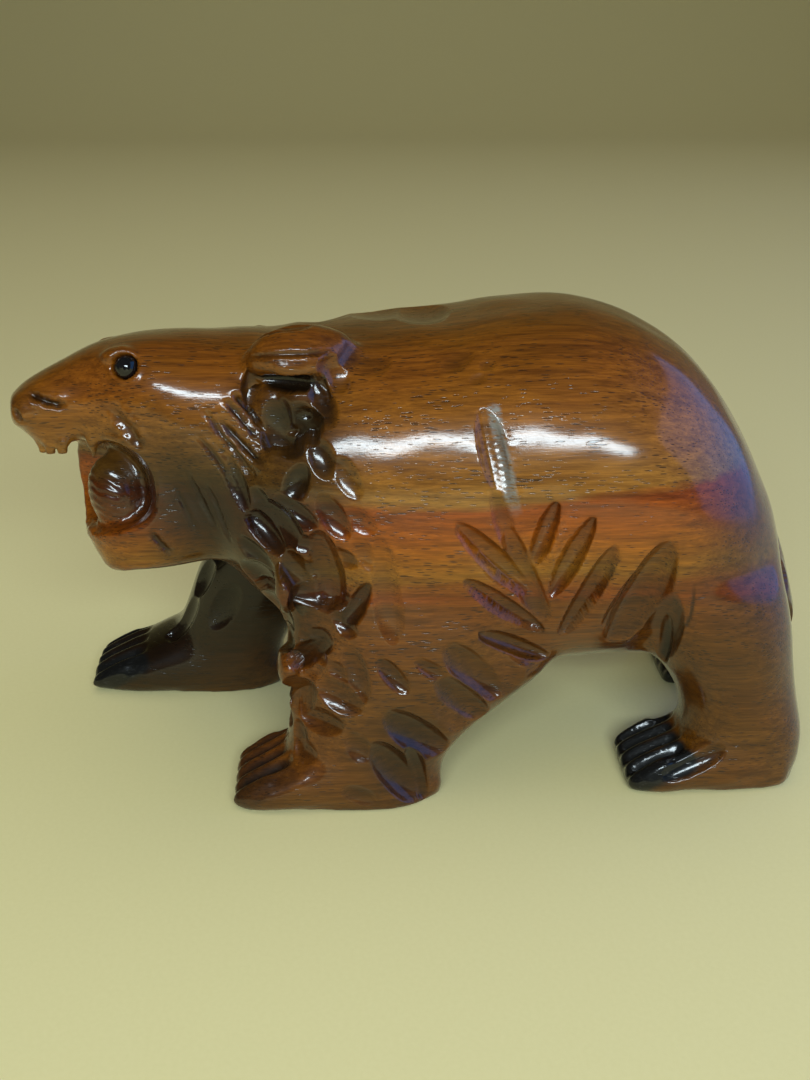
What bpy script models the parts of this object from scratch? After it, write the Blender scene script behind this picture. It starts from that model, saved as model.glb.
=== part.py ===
"""A carved wooden bear that stands on four feet with its mouth open, about 211 mm from nose to tail.

The bear is one block of wood. Two glass eyes on wire shanks are pushed into holes drilled in its head.
The bear faces -Y, +X is its left side, and its soles stand on Z = 0.
The forms are written in millimetres and scaled to metres where a mesh is made.
"""

import math

import bmesh
import bpy
import numpy as np
from mathutils import Matrix, Vector
from mathutils.bvhtree import BVHTree

MM = 0.001

# Driving dimensions
BLOCK_MIDDLE_Y = 5.9  # the forms are written from the shoulder: this moves the middle of the bear to Y = 0
HEAD_PIVOT = (0.0, -35.0, 98.0)
HEAD_TURN = math.radians(13.5)  # to the bear's left
HEAD_ROLL = math.radians(12)  # left ear up
EYE_PLACE = (18.6, -37.5, 11.2)  # of the left eye, in the head's frame
EYE_DIAMETER = 5.6
EYE_SINK = 1.1  # how far the bead's middle lies under the wood around it
SHANK_DIAMETER = 0.9
SHANK_LENGTH = 8.5
SHANK_IN_BEAD = 0.8  # the shank's hole in the bead ends this far from the bead's middle
FIT_GAP = 0.3
DRILL_RISE = 6  # how far the drill's top stands over the bead's middle
CLAW_COUNT = 5
CLAW_SPACING = 5.2
CLAW_ROOT_Z = 7.5
CLAW_TIP_Z = 1.5
CLAW_RADII = (2.5, 3.2)
CLAW_TIP_RADIUS = 0.8
TOOTH_COUNT = 6
TOOTH_RADII = (1.7, 1.7, 2.9)
TOOTH_ARC = 150  # degrees, round the front of the upper jaw
TOOTH_ARC_MIDDLE = (0, -51, -6.5)
TOOTH_ARC_WIDTH = 8.2
TOOTH_ARC_DEPTH = 7.5
BODY_TRIANGLES = 9800

# Mesh fineness
MASS_VOXEL = 1.5
DETAIL_VOXEL = 0.9
RING_POINTS = 40
ROWS_PER_GAP = 4
BEAD_SEGMENTS = 24
WIRE_SEGMENTS = 12

ALONG_X, ALONG_Y, ALONG_Z = (0, 1, 2), (1, 0, 2), (2, 0, 1)  # station, first and second section axis

# A section row is: station, middle and half size on the first axis, then middle, high and low on the
# second axis, and squareness: 2 is an ellipse and more is boxier.
TORSO = [
    (-50, 0, 27, 82, 108, 58, 2.2),
    (-40, 0, 34, 79, 113, 48, 2.3),
    (-26, 0, 40, 76, 116, 37, 2.4),
    (-10, 0, 43, 75, 118, 32, 2.5),
    (10, 0, 45, 75, 119.2, 28, 2.6),
    (30, 0, 46, 75, 122.2, 27.5, 2.5),
    (46, 0, 46.5, 74, 121.8, 29, 2.4),
    (62, 0, 46, 72, 116, 30, 2.4),
    (77, 0, 42.5, 66, 104.5, 31, 2.3),
    (88, 0, 35.5, 60, 88, 33, 2.2),
    (95, 0, 27, 56, 73, 36, 2.2),
    (98, 0, 18, 54, 66, 42, 2.2),
]
SKULL = [
    (25, 0, 33, -10, 14, -40, 2.3),
    (10, 0, 31, -8, 17, -38, 2.3),
    (-5, 0, 30, -5, 18.2, -34, 2.3),
    (-15, 0, 28, -3, 18.6, -30, 2.4),
    (-25, 0, 25, 0, 18.8, -24, 2.5),
    (-32, 0, 22.5, 3, 18.8, -16, 2.6),
    (-38, 0, 19.5, 4, 18, -10, 2.7),
    (-44, 0, 16.2, 4, 16.2, -6, 2.7),
    (-51, 0, 13, 3, 13.4, -4.5, 2.6),
    (-57, 0, 11.3, 2.5, 10.2, -4, 2.6),
    (-62, 0, 10.3, 2, 7.8, -3.8, 2.6),
    (-65, 0, 8.8, 2, 5.5, -2.5, 2.6),
]
THROAT = [
    (4, 0, 21, -20, 10, -40, 2.6),
    (-8, -1, 20.5, -25, 12, -50, 2.8),
    (-16, -1.5, 19.5, -25, 12, -51.5, 2.8),
    (-25, -1.5, 18, -25, 12, -51, 2.8),
    (-32, -1, 16, -25, 10, -49.5, 2.6),
    (-36, -0.5, 13.5, -25, 4, -48, 2.5),
    (-39.5, 0, 11, -32, -14, -46.5, 2.4),
    (-41.3, 0, 8, -36, -27, -45, 2.3),
]
LEFT_FORELEG = [
    (62, 25, 18, -8, 26, -32, 2.4),
    (46, 27, 18, 0, 38, -32, 2.4),
    (36, 28.5, 17, 0, 37, -32, 2.4),
    (29, 29.5, 16.5, -2, 29, -32, 2.4),
    (22, 30, 16, -6, 20, -32, 2.4),
    (12, 31, 15, -10, 10, -32, 2.5),
    (5, 31.5, 14.5, -12, 6.5, -32, 2.6),
    (-2, 31.5, 14, -12, 5.5, -32, 2.8),
]
LEFT_FOREPAW = [
    (8, 31, 9, 5, 9, -2, 2.8),
    (-3, 31, 13.5, 6, 16, -2, 2.8),
    (-20, 31.5, 15, 6, 19, -2, 2.8),
    (-32, 32, 15, 5, 12.5, -2, 2.6),
    (-41, 32, 14, 3.5, 8, -2, 2.6),
    (-46, 32, 12, 2.5, 5, -2, 2.6),
]
RIGHT_FORELEG = [
    (66, -24, 18, -12, 12, -36, 2.4),
    (52, -26, 17, -26, -2, -50, 2.4),
    (40, -28, 16, -35, -13, -59, 2.4),
    (27, -29, 15, -43, -26, -64, 2.4),
    (14, -30.5, 14, -51, -35, -69, 2.5),
    (5, -31, 13.5, -53, -37, -71, 2.6),
    (-2, -31, 13, -53, -37, -71, 2.8),
]
RIGHT_FOREPAW = [
    (-36, -31, 9, 5, 9, -2, 2.8),
    (-44, -31, 13, 6, 17, -2, 2.8),
    (-60, -31, 14.5, 6, 21, -2, 2.8),
    (-73, -31, 14.5, 5, 16, -2, 2.6),
    (-84, -31.5, 13.5, 4, 10.5, -2, 2.6),
    (-93, -32, 11, 3, 6, -2, 2.6),
]
LEFT_HINDLEG = [
    (60, 23, 22, 70, 95, 44, 2.2),
    (46, 25, 20, 77, 99, 55, 2.3),
    (34, 26, 17, 83, 100.5, 65, 2.3),
    (24, 26.5, 14.5, 87, 102.5, 71, 2.4),
    (12, 27, 14, 89, 105, 73, 2.5),
    (4, 27, 13.5, 89, 104.5, 73, 2.6),
    (-2, 27, 13, 89, 102, 73, 2.8),
]
LEFT_HINDPAW = [
    (100, 28, 12, 5, 14, -2, 2.8),
    (85, 28, 14, 6, 18, -2, 2.8),
    (73, 28.5, 14, 5, 13, -2, 2.7),
    (65, 29, 13.5, 4, 8.5, -2, 2.6),
    (57, 29, 12, 3, 5, -2, 2.6),
]
RIGHT_HINDLEG = [
    (60, -23, 22, 75, 96, 49, 2.2),
    (46, -25, 20, 84, 102, 63, 2.3),
    (34, -26, 17, 92, 106, 76, 2.3),
    (24, -26.5, 14.5, 96, 109, 83, 2.4),
    (12, -27, 14, 98, 111.5, 85, 2.5),
    (4, -27, 13.5, 98, 111, 85, 2.6),
    (-2, -27, 13, 98, 108.5, 85, 2.8),
]
RIGHT_HINDPAW = [
    (107, -27, 12, 5, 14, -2, 2.8),
    (98, -27, 14, 6, 19, -2, 2.8),
    (90, -27.5, 14, 5, 14, -2, 2.7),
    (85, -28, 13.5, 4, 9, -2, 2.6),
    (79, -28, 12, 3, 5.5, -2, 2.6),
]
MOUTH = [
    (32, -54, 21, -21, -5.5, -29, 2.8),
    (16, -54, 21, -21, -5.5, -29.5, 2.8),
    (8, -54, 20, -21, -6, -30, 2.6),
    (0, -55, 18, -21, -6.5, -29.5, 2.5),
    (-6, -56, 15, -20, -8, -28, 2.4),
    (-10, -58, 10, -19, -11, -25, 2.2),
]

# A gouge is: where it starts, where it ends, its width and its depth. Each is cut on both sides.
FLANK_GOUGES = [
    ((36.3, 15.4, 107.5), (45.2, 22, 84.7), 6.5, 1.3),
    ((44.2, 21.3, 91.3), (39.6, 36.9, 45.6), 7.5, 1.8),
    ((45, 9.5, 79), (44.5, 32.5, 56.5), 6.5, 2.4),
    ((44.7, 13.3, 64.2), (40.7, 33.9, 45.9), 6.5, 2.4),
    ((42.9, 16.2, 51), (38.9, 33.7, 38.5), 6.5, 2.4),
    ((45.6, 34.4, 86.5), (45.5, 26, 65.5), 6, 2.2),
    ((46.2, 41.7, 81), (45.4, 32.8, 61.3), 6, 2.2),
    ((46.3, 48.7, 72.6), (42.4, 37.6, 49.3), 6.2, 2.3),
    ((46, 62.5, 73.5), (38.6, 48.5, 41), 10.5, 3.2),
    ((44.6, 65.5, 62.5), (34, 56, 28), 9.5, 3.2),
]
FORELEG_GOUGES = [
    ((44.2, 12, 48.8), (36, 28, 28), 13, 2.6),
    ((45.4, 4.7, 37.4), (40, 18, 20), 12, 2.4),
    ((46, -4.3, 29.5), (43, 9, 15.5), 11, 2.2),
    ((45.9, -10.6, 18.4), (42, 4, 3.5), 11, 2.2),
    ((37, -29, 70.4), (42, -13.3, 59.6), 13, 2.8),
    ((36.4, -29.6, 54.5), (43.4, -14.3, 48), 12, 2.2),
    ((36, -31.5, 42), (43, -18, 38), 11, 1.8),
    ((38, -31, 29), (44, -19, 26), 10, 1.6),
]
NECK_GOUGES = [
    ((33, -39.7, 81), (37.6, -31.7, 70), 11, 2.6),
    ((30, -47, 103), (35.5, -33.5, 92), 4.5, 1.4),
    ((31.5, -51, 98), (36, -36, 86), 4.5, 1.4),
    ((31.5, -42.5, 107), (36, -30.5, 95.5), 4.5, 1.4),
]
NAPE_GOUGES = [
    ((-22, -22, 113), (-6, -18, 116.5), 9, 1.2),
    ((-20, -10, 115), (-3, -6, 118), 9, 1.3),
    ((-17, 1, 116.5), (0, 4, 119), 8, 1.3),
]
EAR_HOLLOWS = [((30, -37, 113.5), (35, -27, 94.5), 15, 6)]

# Rounded forms in the head's frame: the middle, the half sizes and the turn in degrees about X, Y and Z.
HEAD_BLOBS = [
    ((27, 4, 10.5), (9, 14, 8), (0, 30, 0)),
    ((-27, 4, 9.5), (9, 14, 8), (0, -30, 0)),
    ((14.5, -37, 13.3), (4.5, 6, 3), (0, 0, 0)),
    ((-14.5, -37, 14.7), (4.5, 6, 3), (0, 0, 0)),
    ((2.5, -41, -21), (7.5, 7.5, 10.5), (8, 0, 0)),
    ((2, -34, -16), (6, 6, 8), (15, 0, 0)),
    ((0, -53, -4.5), (9.5, 8.5, 3), (0, 0, 0)),
]

# Horns: the root, the tip, the half sizes at the root and the radius at the tip.
CANINES = [
    ((10, -46, -4), (9.5, -46.5, -10.5), (2.6, 2.2), 0.6),
    ((-10, -46, -4), (-9.5, -46.5, -10.5), (2.6, 2.2), 0.6),
]
TAIL = ((0, 94, 60), (0, 109, 29), (8, 7), 4)

# A paw's claws: the middle of the row, and where the claws' roots and tips lie along Y.
CLAWS = [(32, -35, -47), (-31.5, -81, -94.5), (28.5, 68, 56.5), (-27.5, 92, 81)]


def head_frame():
    """The head's own frame: its -Y runs out along the muzzle and its origin is where the head turns."""
    turn = Matrix.Rotation(HEAD_TURN, 4, "Z") @ Matrix.Rotation(-HEAD_ROLL, 4, "Y")
    return Matrix.Translation(HEAD_PIVOT) @ turn


def smooth_rows(rows):
    """Section rows filled in along a smooth curve through the given ones."""
    rows = np.array(rows, float)
    slopes = np.gradient(rows, rows[:, 0], axis=0)
    filled = []
    for a, b, slope_a, slope_b in zip(rows, rows[1:], slopes, slopes[1:]):
        gap = b[0] - a[0]
        for t in np.arange(ROWS_PER_GAP) / ROWS_PER_GAP:
            blend = t * t * (3 - 2 * t)
            bend = t * (1 - t) * gap
            filled.append(a + (b - a) * blend + bend * ((1 - t) * slope_a - t * slope_b))
    filled.append(rows[-1])
    return filled


def loft(form, rows, axes, place=Matrix.Identity(4)):
    """Adds a closed skin through the section rows to the bmesh form."""
    rings = []
    for station, side, half_side, middle, high, low, squareness in smooth_rows(rows):
        ring = []
        for k in range(RING_POINTS):
            c, s = math.cos(math.tau * k / RING_POINTS), math.sin(math.tau * k / RING_POINTS)
            point = [0.0, 0.0, 0.0]
            reach = (high - middle) if s > 0 else (middle - low)
            point[axes[0]] = station
            point[axes[1]] = side + half_side * math.copysign(abs(c) ** (2 / squareness), c)
            point[axes[2]] = middle + reach * math.copysign(abs(s) ** (2 / squareness), s)
            ring.append(form.verts.new(place @ Vector(point)))
        rings.append(ring)
    skin = [form.faces.new(rings[0]), form.faces.new(rings[-1])]
    for near, far in zip(rings, rings[1:]):
        for k in range(RING_POINTS):
            j = (k + 1) % RING_POINTS
            skin.append(form.faces.new((near[k], near[j], far[j], far[k])))
    bmesh.ops.recalc_face_normals(form, faces=skin)


def blob(form, middle, radii, place=Matrix.Identity(4), turn=(0, 0, 0)):
    """Adds an ellipsoid. turn is in degrees about X, Y and Z."""
    spin = Matrix.Identity(4)
    for angle, axis in zip(turn, "XYZ"):
        spin = Matrix.Rotation(math.radians(angle), 4, axis) @ spin
    sized = Matrix.Translation(middle) @ spin @ Matrix.Diagonal((*radii, 1))
    bmesh.ops.create_icosphere(form, subdivisions=4, radius=1, matrix=place @ sized)


def horn(form, root, tip, root_radii, tip_radius, place=Matrix.Identity(4)):
    """Adds a tapered horn from root to tip, such as a claw or a tooth."""
    root, tip = Vector(root), Vector(tip)
    along = tip - root
    frame = along.to_track_quat("Y", "Z").to_matrix().to_4x4()
    frame.translation = root
    steps = ((0.0, 1.0), (0.35, 0.92), (0.7, 0.66), (0.92, 0.36), (1.0, 0.12))
    rows = []
    for share, size in steps:
        wide = max(root_radii[0] * size, tip_radius * size)
        tall = max(root_radii[1] * size, tip_radius * size)
        rows.append((share * along.length, 0, wide, 0, tall, -tall, 2.0))
    loft(form, rows, ALONG_Y, place @ frame)


def mesh_of(form, name):
    """The bmesh form as a mesh in metres, and the form is freed."""
    bmesh.ops.scale(form, vec=(MM, MM, MM), verts=form.verts)
    mesh = bpy.data.meshes.new(name)
    form.to_mesh(mesh)
    form.free()
    return mesh


def linked(name, mesh):
    obj = bpy.data.objects.new(name, mesh)
    bpy.context.scene.collection.objects.link(obj)
    return obj


def baked(obj):
    """The object's mesh with its modifiers applied. The object is removed."""
    graph = bpy.context.evaluated_depsgraph_get()
    mesh = bpy.data.meshes.new_from_object(obj.evaluated_get(graph))
    bpy.data.objects.remove(obj)
    return mesh


def fused(mesh, voxel, smoothing):
    """Overlapping closed shapes made one skin, with its creases eased."""
    obj = linked("clay", mesh)
    remesh = obj.modifiers.new("fuse", "REMESH")
    remesh.mode = "VOXEL"
    remesh.voxel_size = voxel * MM
    ease = obj.modifiers.new("ease", "SMOOTH")
    ease.factor = 0.5
    ease.iterations = smoothing
    return baked(obj)


def thinned(mesh, triangles):
    """The mesh with about that many triangles."""
    obj = linked("clay", mesh)
    thin = obj.modifiers.new("thin", "DECIMATE")
    thin.ratio = triangles / (2 * len(mesh.polygons))
    return baked(obj)


def cut(mesh, cutter_mesh):
    obj = linked("clay", mesh)
    cutter = linked("cutter", cutter_mesh)
    boolean = obj.modifiers.new("cut", "BOOLEAN")
    boolean.operation = "DIFFERENCE"
    boolean.object = cutter
    result = baked(obj)
    bpy.data.objects.remove(cutter)
    return result


def joined(*meshes):
    form = bmesh.new()
    for mesh in meshes:
        form.from_mesh(mesh)
    mesh = bpy.data.meshes.new("clay")
    form.to_mesh(mesh)
    form.free()
    return mesh


def gouged(mesh, gouges, sides=(1, -1)):
    """The mesh with each gouge pressed into it by an ellipsoid that leans on the wood there."""
    count = len(mesh.vertices)
    points = np.zeros(count * 3)
    mesh.vertices.foreach_get("co", points)
    points = points.reshape(count, 3)
    form = bmesh.new()
    form.from_mesh(mesh)
    wood = BVHTree.FromBMesh(form)
    form.free()
    for side in sides:
        for start, end, width, depth in gouges:
            start = Vector((side * start[0], start[1], start[2])) * MM
            end = Vector((side * end[0], end[1], end[2])) * MM
            middle, normal, _, _ = wood.find_nearest((start + end) / 2)
            length = (end - start).length
            x_axis = ((end - start) - (end - start).project(normal)).normalized()
            y_axis = normal.cross(x_axis)
            height = 0.5 * width * MM
            sink = depth * MM
            outline = math.sqrt(1 - ((height - sink) / height) ** 2)
            frame = Matrix((x_axis, y_axis, normal)).transposed().to_4x4()
            frame.translation = middle + normal * (height - sink)
            radii = (length / 2 / outline, width * MM / 2 / outline, height)
            frame = np.array(frame @ Matrix.Diagonal((*radii, 1)))
            local = (points - frame[:3, 3]) @ np.linalg.inv(frame[:3, :3]).T
            flat = (local[:, 0] ** 2 + local[:, 1] ** 2).clip(0, 1)
            floor = -np.sqrt(1 - flat)
            inside = (flat < 1) & (local[:, 2] > floor) & (local[:, 2] < -floor)
            local[inside, 2] = floor[inside]
            points[inside] = local[inside] @ frame[:3, :3].T + frame[:3, 3]
    mesh.vertices.foreach_set("co", points.reshape(-1))
    mesh.update()
    return mesh


def masses():
    """Torso, neck, head and legs as overlapping solids."""
    form = bmesh.new()
    head = head_frame()
    loft(form, TORSO, ALONG_Y)
    loft(form, SKULL, ALONG_Y, head)
    loft(form, THROAT, ALONG_Z, head)
    for leg in (LEFT_FORELEG, RIGHT_FORELEG, LEFT_HINDLEG, RIGHT_HINDLEG):
        loft(form, leg, ALONG_Z)
    for paw in (LEFT_FOREPAW, RIGHT_FOREPAW, LEFT_HINDPAW, RIGHT_HINDPAW):
        loft(form, paw, ALONG_Y)
    return mesh_of(form, "masses")


def hollows():
    """What is cut from the masses: the open mouth."""
    form = bmesh.new()
    loft(form, MOUTH, ALONG_X, head_frame())
    return mesh_of(form, "hollows")


def features():
    """Ears, brows, tongue, teeth, claws and tail."""
    form = bmesh.new()
    head = head_frame()
    for middle, radii, turn in HEAD_BLOBS:
        blob(form, middle, radii, head, turn)
    for root, tip, root_radii, tip_radius in CANINES:
        horn(form, root, tip, root_radii, tip_radius, head)
    for k in range(TOOTH_COUNT):
        angle = math.radians(TOOTH_ARC) * (k / (TOOTH_COUNT - 1) - 0.5)
        middle = Vector(TOOTH_ARC_MIDDLE)
        middle += Vector((TOOTH_ARC_WIDTH * math.sin(angle), -TOOTH_ARC_DEPTH * math.cos(angle), 0))
        blob(form, middle, TOOTH_RADII, head)
    for middle, root, tip in CLAWS:
        for k in range(CLAW_COUNT):
            across = middle + (k - (CLAW_COUNT - 1) / 2) * CLAW_SPACING
            horn(form, (across, root, CLAW_ROOT_Z), (across, tip, CLAW_TIP_Z), CLAW_RADII, CLAW_TIP_RADIUS)
    horn(form, *TAIL)
    return mesh_of(form, "features")


def on_soles(mesh):
    """The mesh cut flat where the bear stands."""
    form = bmesh.new()
    form.from_mesh(mesh)
    whole = form.verts[:] + form.edges[:] + form.faces[:]
    up = (0, 0, 1)
    bmesh.ops.bisect_plane(form, geom=whole, plane_co=(0, 0, 0), plane_no=up, clear_inner=True)
    open_edges = [edge for edge in form.edges if edge.is_boundary]
    bmesh.ops.holes_fill(form, edges=open_edges)
    form.to_mesh(mesh)
    form.free()
    return mesh


def turned(name, outline, place, segments):
    """An object turned round the Z axis of place. outline runs from the axis and back to it, in millimetres."""
    form = bmesh.new()
    rings = []
    for radius, height in outline:
        if radius == 0:
            rings.append([form.verts.new((0, 0, height))])
            continue
        angles = [math.tau * k / segments for k in range(segments)]
        rings.append([form.verts.new((radius * math.cos(a), radius * math.sin(a), height)) for a in angles])
    for near, far in zip(rings, rings[1:]):
        for k in range(segments):
            j = (k + 1) % segments
            corners = [near[k % len(near)], near[j % len(near)], far[j % len(far)], far[k % len(far)]]
            form.faces.new(list(dict.fromkeys(corners)))
    bmesh.ops.recalc_face_normals(form, faces=form.faces)
    obj = linked(name, mesh_of(form, name))
    obj.matrix_world = place
    obj.data.shade_smooth()
    obj.data.set_sharp_from_angle(angle=math.radians(40))
    return obj


def eye(side, body, paint_bead, paint_wire):
    """A bead on its shank in a drilled socket. side is 1 for the left eye and -1 for the right."""
    name = "left" if side > 0 else "right"
    wood = BVHTree.FromObject(body, bpy.context.evaluated_depsgraph_get())
    seat = head_frame() @ Vector((side * EYE_PLACE[0], EYE_PLACE[1], EYE_PLACE[2]))
    seat, outward, _, _ = wood.find_nearest(seat * MM)
    place = outward.to_track_quat("Z", "Y").to_matrix().to_4x4()
    place.translation = seat - outward * EYE_SINK * MM
    place = Matrix.Translation(body.location) @ place

    bead = EYE_DIAMETER / 2
    socket = bead + FIT_GAP
    shank = SHANK_DIAMETER / 2
    hole = shank + FIT_GAP
    hole_end = -socket - SHANK_LENGTH
    drilled = [(0, DRILL_RISE), (socket, DRILL_RISE), (socket, -socket)]
    drilled += [(hole, -socket), (hole, hole_end), (0, hole_end)]
    drill = turned("drill_" + name, drilled, place, BEAD_SEGMENTS)
    drill.hide_render = True
    drill.display_type = "WIRE"
    boring = body.modifiers.new("drill_" + name, "BOOLEAN")
    boring.operation = "DIFFERENCE"
    boring.object = drill

    back = math.asin(hole / bead)
    arc = [math.tau * k / BEAD_SEGMENTS for k in range(1, BEAD_SEGMENTS // 2)]
    arc = [a for a in arc if a < math.pi - back]
    outline = [(0, bead)] + [(bead * math.sin(a), bead * math.cos(a)) for a in arc]
    outline += [(hole, -bead * math.cos(back)), (hole, -SHANK_IN_BEAD), (0, -SHANK_IN_BEAD)]
    turned("eye_bead_" + name, outline, place, BEAD_SEGMENTS).data.materials.append(paint_bead)

    top = -SHANK_IN_BEAD - FIT_GAP
    bottom = hole_end + FIT_GAP
    pin = [(0, top), (shank, top), (shank, bottom), (0, bottom)]
    wire = turned("eye_wire_" + name, pin, place, WIRE_SEGMENTS)
    wire.data.materials.append(paint_wire)


def paint(name, colour, roughness, metallic=0.0):
    material = bpy.data.materials.new(name)
    material.use_nodes = True
    surface = material.node_tree.nodes["Principled BSDF"]
    surface.inputs["Base Color"].default_value = (*colour, 1)
    surface.inputs["Roughness"].default_value = roughness
    surface.inputs["Metallic"].default_value = metallic
    return material


def main():
    for old in list(bpy.data.objects):
        bpy.data.objects.remove(old)
    block = fused(masses(), MASS_VOXEL, 8)
    block = cut(block, hollows())
    block = joined(block, features())
    block = fused(block, DETAIL_VOXEL, 2)
    block = gouged(block, FLANK_GOUGES + FORELEG_GOUGES + NECK_GOUGES + EAR_HOLLOWS)
    block = gouged(block, NAPE_GOUGES, sides=(1,))
    block = on_soles(thinned(block, BODY_TRIANGLES))
    body = linked("carved_body", block)
    body.location = (0, -BLOCK_MIDDLE_Y * MM, 0)
    body.data.materials.append(paint("lacquered_wood", (0.17, 0.06, 0.02), 0.25))
    body.data.shade_smooth()
    glass = paint("black_glass", (0.01, 0.01, 0.012), 0.05)
    steel = paint("steel_wire", (0.5, 0.5, 0.5), 0.35, 1.0)
    eye(1, body, glass, steel)
    eye(-1, body, glass, steel)


main()
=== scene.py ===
"""The looks of the carved bear: its carving, its lacquered wood and glass eyes, and the studio around it.

The visible bear starts from the CAD body, eased and refined, and is then carved as a knife and gouge would.
The carving's tables are in millimetres, in the CAD model's own frame.
"""

import math

import bmesh
import bpy
import numpy as np
from mathutils import Matrix, Vector
from mathutils.bvhtree import BVHTree


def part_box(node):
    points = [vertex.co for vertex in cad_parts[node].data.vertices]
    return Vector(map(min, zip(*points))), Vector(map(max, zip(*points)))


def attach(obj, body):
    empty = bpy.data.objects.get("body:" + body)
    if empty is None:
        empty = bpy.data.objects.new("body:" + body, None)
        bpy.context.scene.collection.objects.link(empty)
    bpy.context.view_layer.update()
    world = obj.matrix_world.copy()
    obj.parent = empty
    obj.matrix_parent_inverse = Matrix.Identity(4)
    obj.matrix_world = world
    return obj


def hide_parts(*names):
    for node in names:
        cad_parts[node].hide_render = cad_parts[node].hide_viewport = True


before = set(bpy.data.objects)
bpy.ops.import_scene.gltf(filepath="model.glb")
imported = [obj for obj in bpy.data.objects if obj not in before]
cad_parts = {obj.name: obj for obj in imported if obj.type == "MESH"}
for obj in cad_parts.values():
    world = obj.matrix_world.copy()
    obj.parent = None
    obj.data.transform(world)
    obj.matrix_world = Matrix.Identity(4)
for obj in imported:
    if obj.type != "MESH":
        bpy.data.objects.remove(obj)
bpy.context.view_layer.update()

MM = 0.001
BODY = "root"
SEED = 7

# The camera, at the photograph's viewing angle
CAMERA_LENS = 43.3
CAMERA_PLACE = (0.3263, -0.0202, 0.1948)
CAMERA_TURN = math.radians(-2.5)
CAMERA_DROP = math.atan2(550, 1300)

# The lights: place, aim, size, power and colour
KEY_LIGHT = ((0.98, -0.02, 0.565), (0, 0, 0.06), (0.85, 0.12), 10.5, (0.78, 0.93, 1))
OVERHEAD_LIGHT = ((0.1, 0.1, 1.5), (0, 0, 0), (2.4, 2.4), 13, (1, 0.97, 0.9))
# The window is layered, so that it is brighter towards its middle: width, height and power of each layer.
WINDOW_PLACE = (0, 1.12, 0.36)
WINDOW_AIM = (0, 0.05, 0.06)
WINDOW_COLOUR = (0.07, 0.36, 1)
WINDOW_PANES = [(1.9, 1.3, 9), (1.6, 1.1, 10), (1.3, 0.95, 11), (1.0, 0.8, 10), (0.7, 0.6, 7), (0.4, 0.4, 3)]
WORLD_COLOUR = (1.0, 0.95, 0.75, 1)
WORLD_STRENGTH = 0.05

# The backdrop's sheet, in metres
FLOOR_FRONT = 3.0
FLOOR_BACK = -1.6
SHEET_BEND = 0.9
SHEET_STEPS = 16
SHEET_TOP = 4.0
SHEET_HALF_WIDTH = 5.0

# Mesh fineness
COARSE_VOXEL = 0.9
FINE_VOXEL = 0.45

# The head's own frame, where -Y runs out along the muzzle
HEAD_PIVOT = (0.0, -40.9, 98.0)
HEAD_TURN = math.radians(13.5)
HEAD_ROLL = math.radians(12)

# Easing of the CAD body: rounds of smoothing, and the shift in millimetres that marks carved detail
LIGHT_ROUNDS = 6
HEAVY_ROUNDS = 70
LAST_ROUNDS = 3
DETAIL_SHIFT = 0.22
DETAIL_SPAN = 0.35

# Teeth, in the head's frame, on the +X side
CANINE = ((9.6, -45.5, -3.5), (9.2, -46.3, -10.8))
CANINE_RADII = (2.4, 0.5)
FRONT_TEETH = 3
FIRST_TOOTH_ANGLE = 16
TOOTH_ANGLE_STEP = 27
TOOTH_RADII = (1.75, 1.1)

# Lumps added before the carving: the middle, the half sizes and the turn about X in degrees
TONGUE = ((1.5, -40.8, -21.5), (7.5, 4.6, 10.0), 14)
TAIL = ((0, 95.2, 46), (8.5, 5.0, 20), 21)
EAR_FOLDS = [((25.0, -37.0, 101), (4.5, 8.0, 8.5), 20), ((27.0, -31.5, 104), (4.5, 6.0, 7.5), 20)]
CHEST_KNOBS = [((33, -36.5, 37), (7, 3.6, 6.0), 0), ((33, -37.0, 60), (8, 3.6, 8.0), 0)]

# Scoops left by a gouge: start, end, width, depth, and how dark the shade painted into it is.
FLANK = [
    ((44.8, 4.8, 79), (43.8, 24, 59.5), 6.2, 2.0, 0.35),
    ((44.7, 6.6, 64.8), (40.7, 26, 49.3), 5.6, 1.9, 0.35),
    ((43.2, 10.5, 49.6), (37.8, 28.5, 40), 4.8, 1.7, 0.4),
    ((44.9, 27.6, 85.6), (44, 22, 64), 4.6, 1.6, 0.45),
    ((45.7, 36.2, 80.6), (44.8, 27.2, 59.5), 5.2, 1.7, 0.45),
    ((46.4, 41.8, 74.5), (41.2, 31, 47.5), 5.4, 1.8, 0.45),
    ((46.3, 51, 73.2), (41.8, 41, 49), 6.5, 1.7, 0.4),
    ((46, 55, 73.6), (38, 44, 38), 10.5, 2.6, 0.45),
    ((45.7, 58.3, 71.5), (37, 55.5, 36), 9, 2.4, 0.5),
    ((40.5, 57, 52), (35, 56, 32), 4.2, 2.2, 0.9),
    ((36, 9.3, 108.6), (45.3, 15, 81), 5.6, 1.3, 0.2),
    ((44, 11.5, 93), (45.4, 18.4, 69), 5.0, 1.3, 0.35),
    ((45.4, 16.5, 77), (38.5, 29.8, 43), 6.4, 1.8, 0.45),
]
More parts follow.
